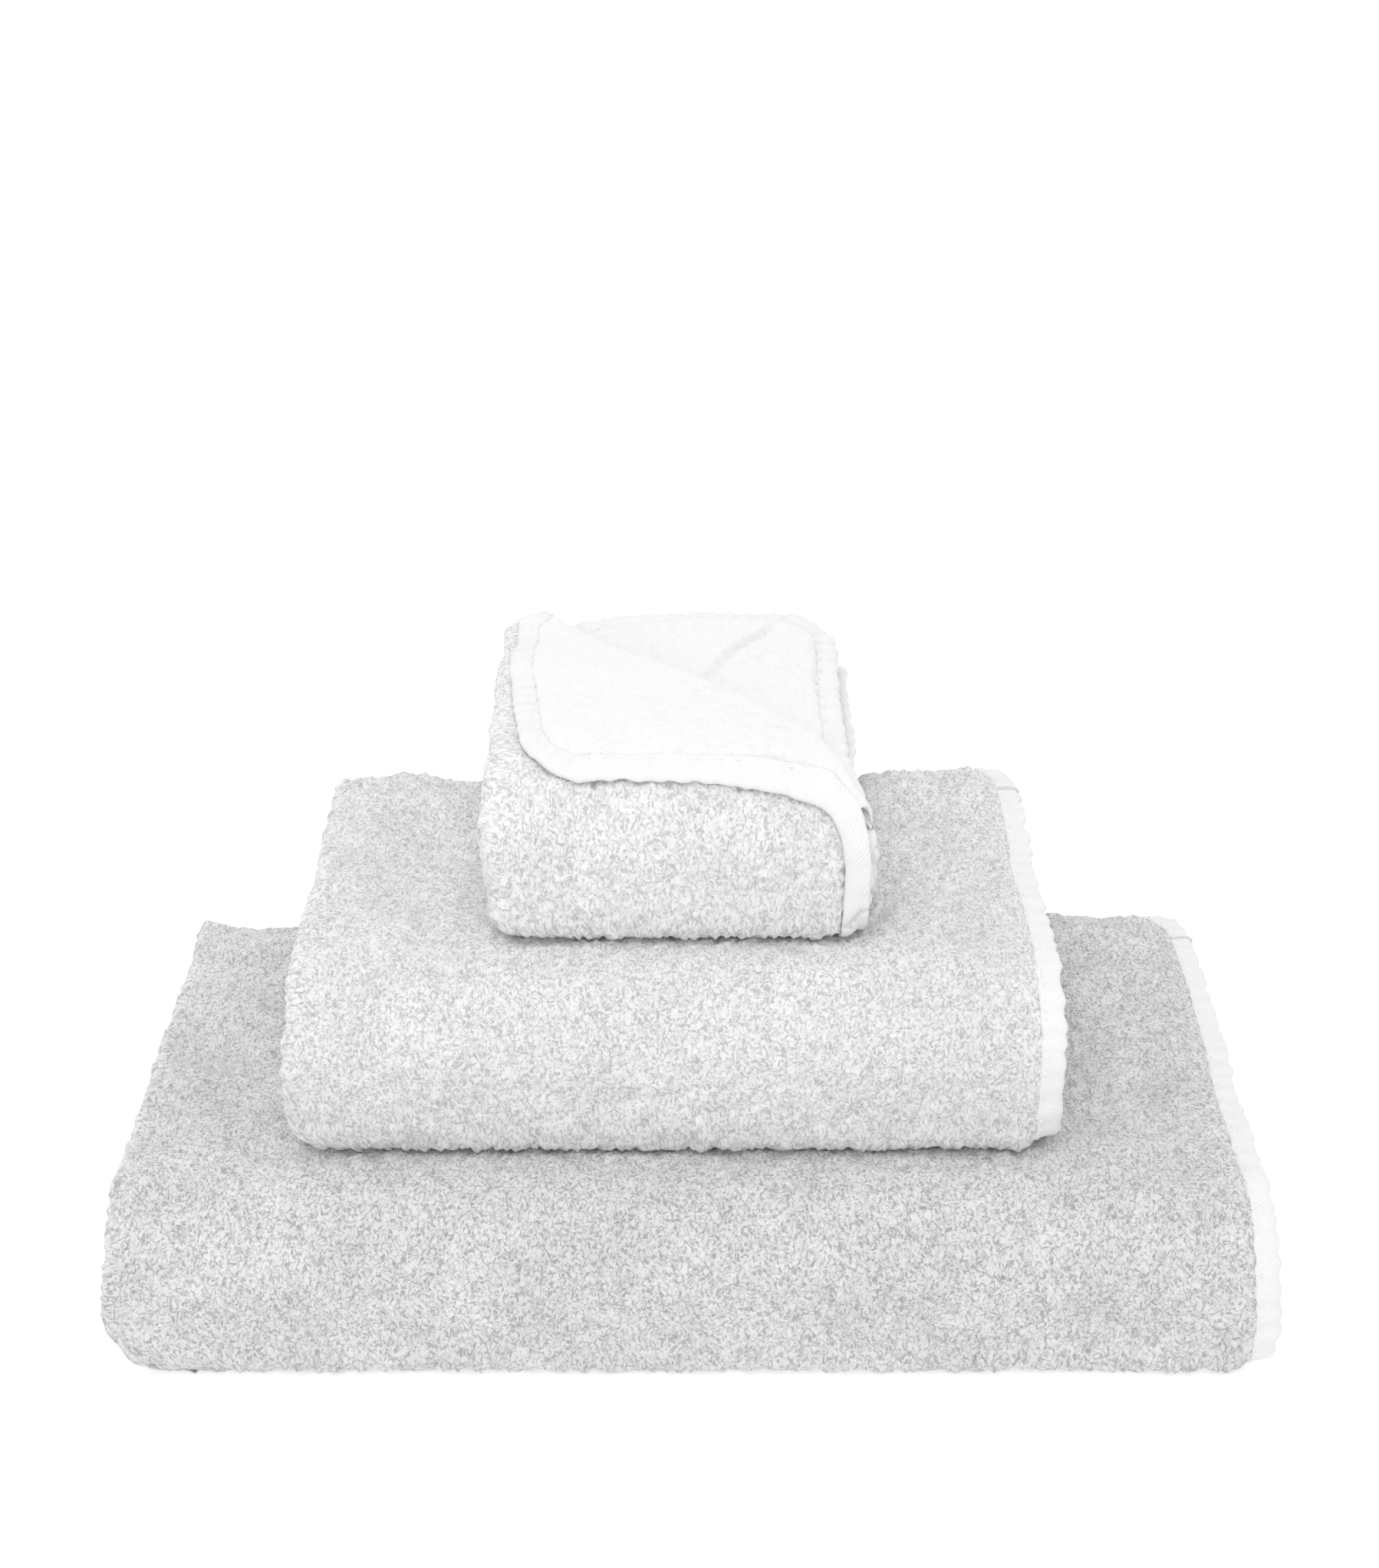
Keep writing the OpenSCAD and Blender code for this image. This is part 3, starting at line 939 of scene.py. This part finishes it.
def noise_node(nt, vec, scale, detail=2.0, rough=0.5, dist=0.0, dims="3D"):
    n = N(nt, "ShaderNodeTexNoise", noise_dimensions=dims)
    put_in(nt, n.inputs["Vector"], vec)
    n.inputs["Scale"].default_value = scale
    n.inputs["Detail"].default_value = detail
    n.inputs["Roughness"].default_value = rough
    n.inputs["Distortion"].default_value = dist
    return n


def vmath(nt, op, a, b=None, scale=None):
    n = N(nt, "ShaderNodeVectorMath", operation=op)
    put_in(nt, n.inputs[0], a)
    if b is not None:
        put_in(nt, n.inputs[1], b)
    if scale is not None:
        put_in(nt, n.inputs["Scale"], scale)
    return n.outputs[0]


def mix_color(nt, fac, a, b):
    n = N(nt, "ShaderNodeMix", data_type="RGBA")
    put_in(nt, n.inputs["Factor"], fac)
    put_in(nt, n.inputs[6], a)
    put_in(nt, n.inputs[7], b)
    return n.outputs[2]


def mat_terry(name, low, high, blotch, bump=0.9, loop=2.4, wide_amount=0.6):
    """Looped pile: small curled loops about loop mm across, with painted shade in the pits between them (the base
    colour darkens there), in soft patches.
    """
    m, nt, bs = nodes_of(name)
    uvn = N(nt, "ShaderNodeUVMap", uv_map="Cloth")
    mm = vmath(nt, "SCALE", uvn.outputs["UV"], scale=1000.0)
    # the loops lean and curl: the pattern's place is shaken by two noises
    warp = noise_node(nt, mm, 0.30, 2.0, 0.6, 0.0, "2D")
    wv = vmath(nt, "SCALE", vmath(nt, "SUBTRACT", warp.outputs["Color"], (0.5, 0.5, 0.5)), scale=3.6)
    shiver = noise_node(nt, mm, 1.1, 1.0, 0.5, 0.0, "2D")
    sv = vmath(nt, "SCALE", vmath(nt, "SUBTRACT", shiver.outputs["Color"], (0.5, 0.5, 0.5)), scale=1.1)
    pos = vmath(nt, "ADD", vmath(nt, "ADD", mm, wv), sv)
    cell = N(nt, "ShaderNodeTexVoronoi", voronoi_dimensions="2D", feature="DISTANCE_TO_EDGE")
    put_in(nt, cell.inputs["Vector"], pos)
    cell.inputs["Scale"].default_value = 1.0 / loop
    ridge = ramp(nt, cell.outputs["Distance"], 0.0, 0.30, 0.0, 1.0)
    turn = noise_node(nt, mm, 0.13, 1.0, 0.5, 0.0, "2D")
    g = N(nt, "ShaderNodeTexGabor", gabor_type="2D")
    put_in(nt, g.inputs["Vector"], pos)
    g.inputs["Scale"].default_value = 0.6 / loop
    g.inputs["Frequency"].default_value = 1.85
    g.inputs["Anisotropy"].default_value = 0.6
    put_in(nt, g.inputs["Orientation"], mth(nt, "MULTIPLY", turn.outputs["Fac"], 14.0))
    fine = noise_node(nt, pos, 1.25 / loop, 3.0, 0.62, 0.5, "2D")
    tuft = noise_node(nt, pos, 0.16, 2.0, 0.55, 0.3, "2D")
    h = mth(nt, "ADD",
            mth(nt, "ADD", mth(nt, "MULTIPLY", ridge, 0.08), mth(nt, "MULTIPLY", g.outputs["Value"], 0.40)),
            mth(nt, "ADD", mth(nt, "MULTIPLY", fine.outputs["Fac"], 0.42), mth(nt, "MULTIPLY", tuft.outputs["Fac"], 0.14)))
    # painted shade: where the pile is low, between the loops, the base colour goes to the darker low colour
    painted_pit_shade = ramp(nt, h, 0.38, 0.60, 0.0, 1.0)
    patch = noise_node(nt, mm, 0.045, 3.0, 0.6, 0.4, "2D")
    wide = noise_node(nt, mm, 0.011, 2.0, 0.5, 0.0, "2D")
    shade = mth(nt, "ADD", mth(nt, "MULTIPLY", mth(nt, "SUBTRACT", patch.outputs["Fac"], 0.5), blotch),
                mth(nt, "MULTIPLY", mth(nt, "SUBTRACT", wide.outputs["Fac"], 0.5), blotch * wide_amount))
    base = mix_color(nt, painted_pit_shade, (*low, 1), (*high, 1))
    sh = N(nt, "ShaderNodeHueSaturation")
    put_in(nt, sh.inputs["Color"], base)
    put_in(nt, sh.inputs["Value"], mth(nt, "ADD", 1.0, shade))
    nt.links.new(sh.outputs["Color"], bs.inputs["Base Color"])
    put_in(nt, bs.inputs["Roughness"], ramp(nt, h, 0.3, 0.75, 1.0, 0.88))
    bs.inputs["Specular IOR Level"].default_value = 0.12
    bs.inputs["Sheen Weight"].default_value = 0.28
    bs.inputs["Sheen Roughness"].default_value = 0.6
    b = N(nt, "ShaderNodeBump")
    b.inputs["Strength"].default_value = bump
    b.inputs["Distance"].default_value = 0.0008
    put_in(nt, b.inputs["Height"], h)
    nt.links.new(b.outputs["Normal"], bs.inputs["Normal"])
    return m


def mat_tape(name):
    """White woven tape: fine slanting ribs, painted shade of soft puckers across it, and a faint thread grain."""
    m, nt, bs = nodes_of(name)
    uvn = N(nt, "ShaderNodeUVMap", uv_map="Cloth")
    mm = vmath(nt, "SCALE", uvn.outputs["UV"], scale=1000.0)
    shake = noise_node(nt, mm, 0.5, 2.0, 0.6, 0.0, "2D")
    pos = vmath(nt, "ADD", mm, vmath(nt, "SCALE", vmath(nt, "SUBTRACT", shake.outputs["Color"], (0.5, 0.5, 0.5)), scale=0.5))
    sep = N(nt, "ShaderNodeSeparateXYZ")
    put_in(nt, sep.inputs[0], pos)
    slant = mth(nt, "ADD", sep.outputs["X"], mth(nt, "MULTIPLY", sep.outputs["Y"], 0.55))
    ribs = mth(nt, "SINE", mth(nt, "MULTIPLY", slant, 2 * math.pi / 1.45))
    ribs = mth(nt, "MULTIPLY_ADD", ribs, 0.5)
    nt.nodes[-1].inputs[2].default_value = 0.5
    # painted shade: the base colour rises and falls with the puckers along the tape
    pucker = mth(nt, "SINE", mth(nt, "MULTIPLY", sep.outputs["X"], 2 * math.pi / 9.4))
    grain = noise_node(nt, mm, 2.2, 2.0, 0.6, 0.0, "2D")
    soft = noise_node(nt, mm, 0.12, 2.0, 0.5, 0.0, "2D")
    h = mth(nt, "ADD", mth(nt, "MULTIPLY", ribs, 0.6), mth(nt, "MULTIPLY", grain.outputs["Fac"], 0.5))
    v = mth(nt, "ADD", mth(nt, "MULTIPLY", h, 0.085), mth(nt, "ADD", mth(nt, "MULTIPLY", pucker, 0.008), mth(nt, "MULTIPLY", soft.outputs["Fac"], 0.04)))
    base = N(nt, "ShaderNodeHueSaturation")
    base.inputs["Color"].default_value = (0.745, 0.745, 0.745, 1)
    put_in(nt, base.inputs["Value"], mth(nt, "ADD", 0.93, v))
    nt.links.new(base.outputs["Color"], bs.inputs["Base Color"])
    put_in(nt, bs.inputs["Roughness"], ramp(nt, h, 0.1, 1.0, 0.92, 0.8))
    bs.inputs["Specular IOR Level"].default_value = 0.2
    bs.inputs["Sheen Weight"].default_value = 0.08
    bs.inputs["Sheen Roughness"].default_value = 0.5
    b = N(nt, "ShaderNodeBump")
    b.inputs["Strength"].default_value = 0.55
    b.inputs["Distance"].default_value = 0.0004
    put_in(nt, b.inputs["Height"], h)
    nt.links.new(b.outputs["Normal"], bs.inputs["Normal"])
    return m


def mat_thread(name):
    m, nt, bs = nodes_of(name)
    tc = N(nt, "ShaderNodeTexCoord")
    mm = vmath(nt, "SCALE", tc.outputs["Object"], scale=1000.0)
    n = noise_node(nt, mm, 1.6, 2.0, 0.6, 0.4)
    tw = N(nt, "ShaderNodeTexWave", wave_type="BANDS", bands_direction="DIAGONAL")
    put_in(nt, tw.inputs["Vector"], mm)
    tw.inputs["Scale"].default_value = 0.9
    tw.inputs["Distortion"].default_value = 1.2
    h = mth(nt, "ADD", mth(nt, "MULTIPLY", tw.outputs["Fac"], 0.5), mth(nt, "MULTIPLY", n.outputs["Fac"], 0.5))
    put_in(nt, bs.inputs["Base Color"], mix_color(nt, h, (0.70, 0.70, 0.70, 1), (0.86, 0.86, 0.86, 1)))
    put_in(nt, bs.inputs["Roughness"], ramp(nt, h, 0.2, 0.8, 0.8, 0.6))
    bs.inputs["Sheen Weight"].default_value = 0.1
    b = N(nt, "ShaderNodeBump")
    b.inputs["Strength"].default_value = 0.4
    b.inputs["Distance"].default_value = 0.0002
    put_in(nt, b.inputs["Height"], h)
    nt.links.new(b.outputs["Normal"], bs.inputs["Normal"])
    return m


# each terry's first colour is the painted shade of the pits between its loops, the second the colour of the loops
GREY_B = mat_terry("terry_bath_grey", (0.34, 0.34, 0.345), (0.66, 0.66, 0.665), 0.22, bump=0.8)
GREY_H = mat_terry("terry_hand_grey", (0.43, 0.43, 0.435), (0.72, 0.72, 0.725), 0.15, bump=0.7)
GREY_G = mat_terry("terry_guest_grey", (0.46, 0.46, 0.465), (0.74, 0.74, 0.745), 0.13, bump=0.65)
WHITE = mat_terry("terry_white", (0.695, 0.695, 0.695), (0.73, 0.73, 0.73), 0.015, bump=0.16)
TAPE = mat_tape("edge_tape_white")
THREAD = mat_thread("thread_white")

# ------------------------------------------------------------------ the pieces
made = {}


def dress(T, grey, step, front_step, tape_half, body, slot, flat, area=None, cut=None, **kw):
    n = T.name
    t = terry(T, n + "_towel_terry", [grey, WHITE], step, front_step, cut=cut, **kw)
    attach(t, body)
    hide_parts(n + "_terry")
    first, last = (None, None) if cut is None else (END_V, END_U)
    b = boundary(T, 2.2, first, last)

    def put(a, s, w, tau, d):
        return T.place(a, s, w)

    tp = tape_mesh(n + "_towel_tape", put, b, tape_half, TAPE, T.seed)
    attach(tp, body)
    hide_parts(n + "_tape")
    st = stitch_mesh(n + "_towel_stitches", put, b, tape_half, THREAD)
    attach(st, body)
    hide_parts(n + "_stitching")
    made[n] = (t, tp, st)
    return t, tp, st


bath = dress(BATH, GREY_B, 2.0, 1.7, 2.5, "bath_towel", "terry_bath", None)
hand = dress(HAND, GREY_H, 1.6, 1.45, 2.5, "hand_towel", "terry_hand", None, every=3, white_every=2)
guest = dress(GUEST, GREY_G, 1.15, 1.1, 2.5, "guest_towel", "terry_guest", None, cut=crease_u, every=4, white_every=2,
              inner_fine=1.6, white_fine_inner=True)

flap = flap_terry("turned_corner_terry", [GREY_G, WHITE])
fb = flap_boundary(1.6)


# place along the tape where its hem lies at the start of the bend
_k = int(np.argmin(np.abs(_fu - TURN[0, 0])))
tau0 = float(np.interp(_h[_k], fb[1][fb[0] == 0], fb[4][fb[0] == 0]))
keep = fb[4] <= tau0 + _tl[-1]
fb = tuple(q[keep] for q in fb[:5]) + (False,)


def fput(a, s, w, tau, d):
    a, s, w, tau, d = np.broadcast_arrays(*(np.asarray(q, float) for q in (a, s, w, tau, d)))
    return ribbon_put(a, s, w, tau, d, tau0)


flap_tp = tape_mesh("turned_corner_tape", fput, fb, 2.2, TAPE, 5, pucker=0.22, wave=0.12)
flap_st = stitch_mesh("turned_corner_stitches", fput, fb, 2.2, THREAD)
hinge = [j for j in frame["joints"] if j["name"] == "guest_corner_fold"][0]
hp = np.array(hinge["pos_m"])
# the turned corner's pieces are baked into place, and the matching parts of model.glb hidden
for ob, node, slot in ((flap, "corner_terry", "terry_reverse"), (flap_tp, "corner_tape", "edge_tape"), (flap_st, "corner_stitching", "stitch_thread")):
    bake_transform(ob)
    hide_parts(node)


# ------------------------------------------------------------------ floor, light, camera
sc = bpy.context.scene
me = bpy.data.meshes.new("floor")
R = 6.0
nf = 24
vs = [(R * math.cos(2 * math.pi * i / nf), R * math.sin(2 * math.pi * i / nf), 0.0) for i in range(nf)]
me.from_pydata(vs, [], [tuple(range(nf))])
floor = link(me, "floor")
fm, fnt, fbs = nodes_of("floor_plain")
fbs.inputs["Base Color"].default_value = (0.7, 0.7, 0.7, 1)
fbs.inputs["Emission Color"].default_value = (1.0, 1.0, 1.0, 1)
fbs.inputs["Emission Strength"].default_value = 0.44
fbs.inputs["Roughness"].default_value = 0.9
fbs.inputs["Specular IOR Level"].default_value = 0.1
me.materials.append(fm)

w = bpy.data.worlds.new("studio")
sc.world = w
w.use_nodes = True
bg = w.node_tree.nodes.get("Background") or w.node_tree.nodes.new("ShaderNodeBackground")
bg.inputs["Color"].default_value = (1.0, 1.0, 1.0, 1)
bg.inputs["Strength"].default_value = 1.02


def area_light(name, loc, target, size, power):
    L = bpy.data.lights.new(name, "AREA")
    L.shape = "RECTANGLE"
    L.size, L.size_y = size
    L.energy = power
    L.color = (1, 1, 1)
    o = bpy.data.objects.new(name, L)
    sc.collection.objects.link(o)
    from mathutils import Vector
    d = Vector(target) - Vector(loc)
    o.location = loc
    o.rotation_euler = d.to_track_quat("-Z", "Y").to_euler()
    return o


area_light("key", (-0.22, -0.82, 2.0), (0, 0, 0.1), (1.3, 1.3), 15.0)

cam_d = bpy.data.cameras.new("camera")
cam = bpy.data.objects.new("camera", cam_d)
sc.collection.objects.link(cam)
cam_d.sensor_width = 36.0
cam_d.sensor_fit = "AUTO"
cam_d.lens = 36.0 * 2800.0 / 2044.0
cam_d.clip_start, cam_d.clip_end = 0.02, 60.0
cam.location = (0.0, -0.8073, 0.6729)
cam.rotation_euler = (math.radians(90 - 29.2), 0.0, 0.0)
sc.camera = cam
sc.view_settings.view_transform = "Standard"
sc.view_settings.look = "None"
sc.view_settings.exposure = 0.0
sc.view_settings.gamma = 1.0
